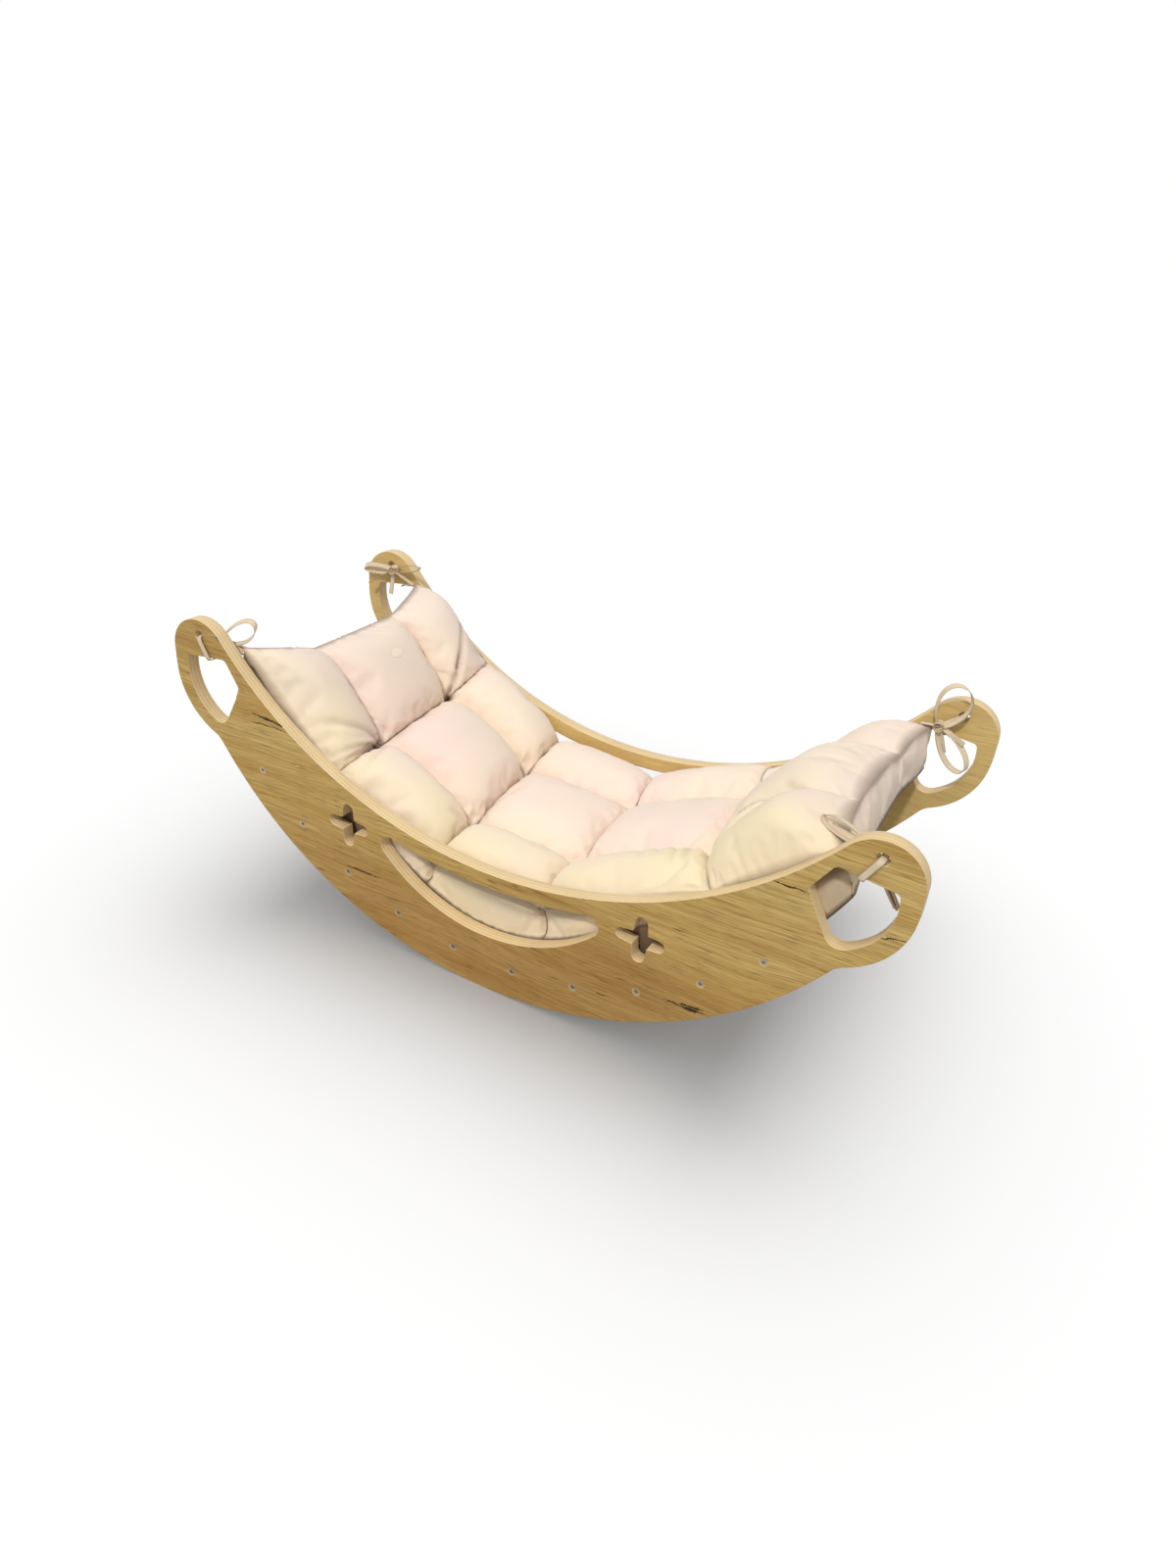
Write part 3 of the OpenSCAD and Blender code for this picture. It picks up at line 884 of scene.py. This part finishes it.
# %% [markdown]
# ## Folds
# From each tuft the pulled cloth throws folds. The long ones are set one by one, by their two
# ends on the cushion; short ones stand round every tuft at uneven angles. A fold is a groove
# with a low ridge on either side, and it fades from the tuft outwards. The sewn seams get a
# ridge of their own, where the cloth's turned-in edge lies.

# %% Fold the cloth
long_folds = (                   # from degrees, across to degrees, across, depth, half width
    (-41.0, -84, -51.0, -176, 7.0, 6), (-41.0, -90, -44.8, -140, 5.0, 5),
    (-40.6, -92, -43.4, -176, 5.0, 5), (-40.2, -94, -41.4, -172, 6.0, 5),
    (-39.8, -94, -36.6, -170, 4.0, 7),
    (-42.3, 84, -50.0, 122, 7.0, 6), (-47.0, 107, -57.5, 166, 7.0, 6),
    (-60.5, 58, -57.5, 76, 3.5, 5), (-18.0, -122, -14.5, -98, 3.0, 6),
    (27.0, -92, 31.0, -140, 3.0, 6), (31.0, -90, 34.0, -134, 3.5, 6),
    (35.5, -96, 38.0, -150, 4.0, 6), (38.0, -100, 41.0, -160, 4.0, 6),
    (40.5, -96, 47.0, -140, 4.0, 7),
    (63.5, -86, 59.0, -52, 7.0, 5), (62.0, 70, 56.0, 64, 3.0, 6),
    (66.0, -10, 60.0, -16, 3.0, 5), (66.0, 26, 60.0, 22, 3.0, 5))
tuft_folds = 7
tuft_fold_length = 30
tuft_fold_depth = 1.2
seam_ridge = 2.2 * mm
surface_radius = 355 * mm
full_fold = 6 * mm


def on_cloth(degrees, across_mm):
    """A place on the spread-out cloth, in metres along and across."""
    return Vector((math.radians(degrees) * surface_radius, across_mm * mm))


folds = []
for from_degrees, from_across, to_degrees, to_across, depth, half in long_folds:
    folds.append((on_cloth(from_degrees, from_across), on_cloth(to_degrees, to_across),
                  depth * mm, half * mm))
for line in posts[1:-1]:
    for (degrees, _), across in list(zip(line, line_across))[1:-1]:
        centre = on_cloth(degrees, across)
        for number in range(tuft_folds):
            uneven = noise.noise(Vector((degrees, across, number * 1.7)))
            turn = 2 * math.pi * (number + 0.5 + 0.6 * uneven) / tuft_folds
            reach = Vector((math.cos(turn), math.sin(turn))) * mm
            folds.append((centre + reach * 5, centre + reach * tuft_fold_length * (1 + uneven),
                          tuft_fold_depth * (1 + uneven) * mm, 5 * mm))


def groove(share):
    """1 at the bottom of a fold, a little below 0 on its two ridges."""
    return (1 - share * share) * math.exp(-share * share)


def fold_depth(spot):
    total = 0
    for start, end, depth, half in folds:
        run = end - start
        along = (spot - start).dot(run) / run.length_squared
        if -0.2 < along < 1:
            away = (spot - start - run * max(along, 0)).length
            if away < 3 * half:
                total += depth * groove(away / half) * (1 - max(along, 0)) ** 0.6
    return total


cushion.data.update()
normals = [point.normal.copy() for point in cushion.data.vertices]
stop = inner_face - board_gap
in_folds = []
for point, normal, (i, j, k) in zip(cushion.data.vertices, normals, net_places):
    border = i in (0, long_cells) or j in (0, wide_cells)
    pressed = 0
    if k == wall_rows:
        row, u = share_between(i, line_cells)
        column, v = share_between(j, column_cells)
        spot = on_cloth(between_posts(row, column, u, v, 0),
                        mixed(line_across[column], line_across[column + 1], v))
        pressed = fold_depth(spot)
        point.co -= normal * pressed
    in_folds.append(min(max(pressed / full_fold, 0), 1))
    if border and k in (0, wall_rows):
        point.co += normal * seam_ridge
    point.co.y = min(max(point.co.y, -stop), stop)

# %% [markdown]
# ## Painted shade in the creases
# Where two pillows meet, the cloth of both touches and hardly any light gets in, so the creases
# show as fine dark lines. The mesh is too coarse for a gap that narrow. So each point gets a
# number, its painted shade, which the cotton turns to brown: most beside the tufts, in the
# gathers and below, less along the seams, a little on the walls, more at the corners behind the
# hand holes, and in the folds. The near board's shadow is painted on the upper rows of the wall
# behind it.

# %% Paint the shade into the creases
tuft_cells = 9
corner_cells = 30
row_line_dark, column_line_dark, seam_dark = 0.60, 0.36, 0.60
tuft_dark, fold_dark = 0.4, 0.28
gather_dark = 1.0
wall_dark, corner_dark, under_dark = 0.05, 0.38, 0.9
board_shadow = 0.36
shadow_rows = (5.4, 6.8)


# Painted shade of each point: creases, tufts, gathers, underside, seams, walls, corners, and the
# painted shadow of the near board.
def painted_shade(i, j, k):
    if k == 0:
        return under_dark
    beside_line = min(abs(i - cell) for cell in line_cells[1:-1])
    beside_column = min(abs(j - cell) for cell in column_cells[1:-1])
    if k < wall_rows:
        on_side = j in (0, wide_cells)
        if on_side and beside_line == 0:
            return gather_dark
        at_corner = on_side and min(i, long_cells - i) < corner_cells
        # painted shadow of the near board on the upper rows of the wall
        in_shadow = (j == 0) * eased(k, *shadow_rows)
        return wall_dark + at_corner * corner_dark + in_shadow * board_shadow
    if i in (0, long_cells) or j in (0, wide_cells):
        return seam_dark
    near_tuft = tuft_dark * math.exp(-math.hypot(beside_line, beside_column) / tuft_cells)
    if beside_line == 0:
        return row_line_dark + near_tuft
    if beside_column == 0:
        return column_line_dark + near_tuft
    next_to_crease = min(beside_line, beside_column) == 1
    return next_to_crease * near_tuft / 2


# each point's painted shade, with the folds' share added, as an attribute the cotton reads
creases = cushion.data.attributes.new("painted_shade", "FLOAT", "POINT")
for item, place, in_fold in zip(creases.data, net_places, in_folds):
    item.value = painted_shade(*place) + fold_dark * in_fold

cushion.data.materials.append(cotton)
pick(cushion)
bpy.ops.object.shade_smooth()
hand_over(cushion, "cushion_cotton", "cushion")

# %% [markdown]
# ## Tape
# The ties are flat woven cotton tape, 8 mm wide. Its weave follows the tape wherever it turns,
# so the pattern is laid on the tape's own UV map, whose numbers are metres along and across.

# %% Tape material
tape_pale = shade(232, 214, 182)
tape_dark = shade(186, 160, 124)
tape_shade = shade(110, 84, 62)
tape_thread = 0.9 * mm

tape = new_finish("tie_tape", Roughness=0.7, Specular_IOR_Level=0.3, Sheen_Weight=0.2)
read = wire(tape, "UVMap", {}, uv_map="tape_map").outputs[0]
axes = wire(tape, "SeparateXYZ", {0: read})
turns = 2 * math.pi / tape_thread
long_wave = reckon(tape, "SINE", reckon(tape, "MULTIPLY", axes.outputs[0], turns), 0)
slanted = reckon(tape, "ADD", axes.outputs[0], axes.outputs[1])
cross_wave = reckon(tape, "SINE", reckon(tape, "MULTIPLY", slanted, turns), 0)
weave = spread(tape, reckon(tape, "ADD", long_wave, cross_wave), -2, 2)
tint = spread(tape, cloudy(tape, places(tape, (60, 60, 60)), 2), 0.3, 0.7, 0, 0.3)
shown = blend(tape, tint, tape_pale, tape_dark)
shown = blend(tape, reckon(tape, "MULTIPLY", weave, 0.3), shown, tape_dark)
# painted shade: the tape darkens towards both its edges
edge = spread(tape, reckon(tape, "ABSOLUTE", axes.outputs[1], 0), 2.6 * mm, 4 * mm)
colour_with(tape, blend(tape, reckon(tape, "MULTIPLY", edge, 0.5), shown, tape_shade))
rough_up(tape, weave, 0.12 * mm)

# %% [markdown]
# ## Laying a tape
# A tape is a strip two squares wide. It starts as a grid, whose rows of points are then laid
# across a smooth curve through the tape's route, turned so that its width lies the given way.
# Solidify gives it thickness and one subdivision softens it.

# %% Lay a tape
tape_width = 8 * mm
tape_thickness = 1.2 * mm
steps_between = 4


def smooth_route(points):
    """A curve through all the points, as a row of closer ones."""
    route = [points[0] * 2 - points[1]] + list(points) + [points[-1] * 2 - points[-2]]
    result = []
    for before, start, end, after in zip(route, route[1:], route[2:], route[3:]):
        for step in range(steps_between):
            t = step / steps_between
            result.append((start * 2 + (end - before) * t
                           + (before * 2 - start * 5 + end * 4 - after) * t * t
                           + (start * 3 - before - end * 3 + after) * t * t * t) / 2)
    return result + [points[-1]]


def lay_tape(points, wide, width=tape_width):
    route = smooth_route([Vector(point) for point in points])
    start_fresh()
    bpy.ops.mesh.primitive_grid_add(x_subdivisions=len(route) - 1, y_subdivisions=2, size=2)
    strip = added("tape")
    strip.data.uv_layers[0].name = "tape_map"
    counted = []
    for point in strip.data.vertices:
        counted.append((round((point.co.x + 1) / 2 * (len(route) - 1)), round(point.co.y)))
    lengths = [0]
    for one, other in zip(route, route[1:]):
        lengths.append(lengths[-1] + (other - one).length)
    for point, (step, side) in zip(strip.data.vertices, counted):
        ahead = route[min(step + 1, len(route) - 1)] - route[max(step - 1, 0)]
        across = Vector(wide) - ahead * (Vector(wide).dot(ahead) / ahead.length_squared)
        point.co = route[step] + across.normalized() * side * width / 2
    for corner, spot in zip(strip.data.loops, strip.data.uv_layers[0].data):
        step, side = counted[corner.vertex_index]
        spot.uv = (lengths[step], side * width / 2)
    modify(strip, "SOLIDIFY", thickness=tape_thickness, offset=0)
    modify(strip, "SUBSURF", levels=1, render_levels=1)
    return strip


# %% [markdown]
# ## The bows
# Each tie leaves the cushion's corner, goes out through the hand hole, up over the board and
# back in through the tie hole, and is knotted above the corner with two loops and two tails.
# All routes are given for the right front corner, in millimetres: along X, in from the outer
# face, and up. The other three corners mirror them.

# %% Routes
strap_mm = (
    (386, 23, 336.8), (394, 24, 337), (401, 24, 334.5), (407, 22, 331), (412.5, 17, 328.2),
    (416, 10, 327.5), (416.6, 4, 327.5), (417, 0, 327.9), (417.8, -2.1, 330),
    (420, -2.6, 334), (424, -2.6, 341), (428, -2.5, 348), (430.6, -1.8, 352),
    (432.2, 0.6, 354.6), (433, 5, 355.8), (433, 12, 356), (432, 18, 355.6), (429, 23, 354))
strap_wide = Vector((0.9, 0, -0.42))
loop_steps = 19
loop_lean = 0.9
knot_radius = 5.3
knot_height = 9


def loop_route(knot, reach, opening):
    """Out to the tip and back: reach is the way to the tip, opening the way across."""
    points = []
    for step in range(1, loop_steps + 1):
        t = math.pi * step / (loop_steps + 1) * 2
        swing = math.sin(t) / 2 * (0.35 + 0.65 * math.sin(t / 2))
        points.append(knot + reach * (1 - math.cos(t)) / 2 + opening * swing)
    return points


def tail_route(knot, reach, drop):
    points = []
    for step in range(6):
        t = 0.05 + 0.19 * step
        points.append(knot + reach * t + Vector((0, 0, -drop * t * t)))
    return points


def band_route(knot, radius, lean):
    """Round the knot once, leaning a little along Y."""
    points = []
    for step in range(17):
        t = 2 * math.pi * step / 16
        points.append(knot + Vector((radius * math.cos(t), lean * math.sin(t),
                                     radius * math.sin(t))))
    return points


def tie(node, flip_x, flip_y, knot, loops, tails):
    knot = Vector(knot)
    start = Vector(strap_mm[0])
    strips = [([Vector(point) for point in strap_mm] + [knot], strap_wide, tape_width)]
    lead = [start + Vector((0, 3, 1)), (start + knot) / 2 + Vector((0, 4, 2)), knot]
    strips.append((lead, Vector((0, 1, 0)), tape_width))
    for reach, opening in loops:
        reach, opening = Vector(reach), Vector(opening)
        wide = reach.cross(opening).normalized() + opening.normalized() * loop_lean
        strips.append((loop_route(knot, reach, opening), wide, tape_width))
    for reach, drop, wide in tails:
        strips.append((tail_route(knot, Vector(reach), drop), Vector(wide), tape_width))
    for radius, lean in ((knot_radius, 1.5), (knot_radius + 0.7, -2.5)):
        strips.append((band_route(knot, radius, lean), Vector((0, 1, 0)), knot_height * mm))

    def in_place(point):
        return Vector((flip_x * point.x, flip_y * (outer_face / mm - point.y), point.z)) * mm

    pieces = []
    for points, wide, width in strips:
        turned = Vector((flip_x * wide.x, -flip_y * wide.y, wide.z))
        pieces.append(lay_tape([in_place(point) for point in points], turned, width))
    start_fresh()
    for piece in pieces:
        piece.select_set(True)
    bpy.context.view_layer.objects.active = pieces[0]
    bpy.ops.object.join()
    bow = pieces[0]
    bow.name = node + "_tape"
    bow.data.name = bow.name
    bow.data.materials.clear()
    bow.data.materials.append(tape)
    smooth(bow, 60)
    hand_over(bow, "tie_tape", node)


# %% [markdown]
# ## Four different bows
# No two bows in the photograph lie alike. So each has its own knot, two loops, each with the
# way to its tip and the way across, and two tails, each with its drop and its width's direction.

# %% Tie the four bows
tie("tie_front_right", 1, -1, (418, 28, 347),
    loops=(((-58, 30, 2), (5, 12, 11)), ((34, 2, -56), (4.5, 0, 3))),
    tails=(((-50, 26, -2), 2, (0, 1, 0.6)), ((35, 5, -58), 0, (0.85, 0, 0.5))))
tie("tie_front_left", -1, -1, (422, 26, 345),
    loops=(((-52, 8, 28), (6, 2, 30)), ((-30, 14, -14), (8, 6, 10))),
    tails=(((-34, 18, -12), 2, (0, 1, 0.6)), ((-18, 10, -6), 4, (0, 1, 0.6))))
tie("tie_rear_right", 1, 1, (409, 29, 341),
    loops=(((18, 3, 57), (42, 0, -14)), ((40, 3, -49), (24, 0, 18))),
    tails=(((34, 4, -12), 2, (0.3, 0, 1)), ((12, -3, -34), 0, (1, 0, 0.2))))
tie("tie_rear_left", -1, 1, (421, 28, 354),
    loops=(((53, 2, -6), (1, 6, 14)), ((-50, 3, 14), (-3, 6, 14))),
    tails=(((44, 6, -24), 4, (0, 1, 0)), ((4, 3, -38), 0, (1, 0, 0))))
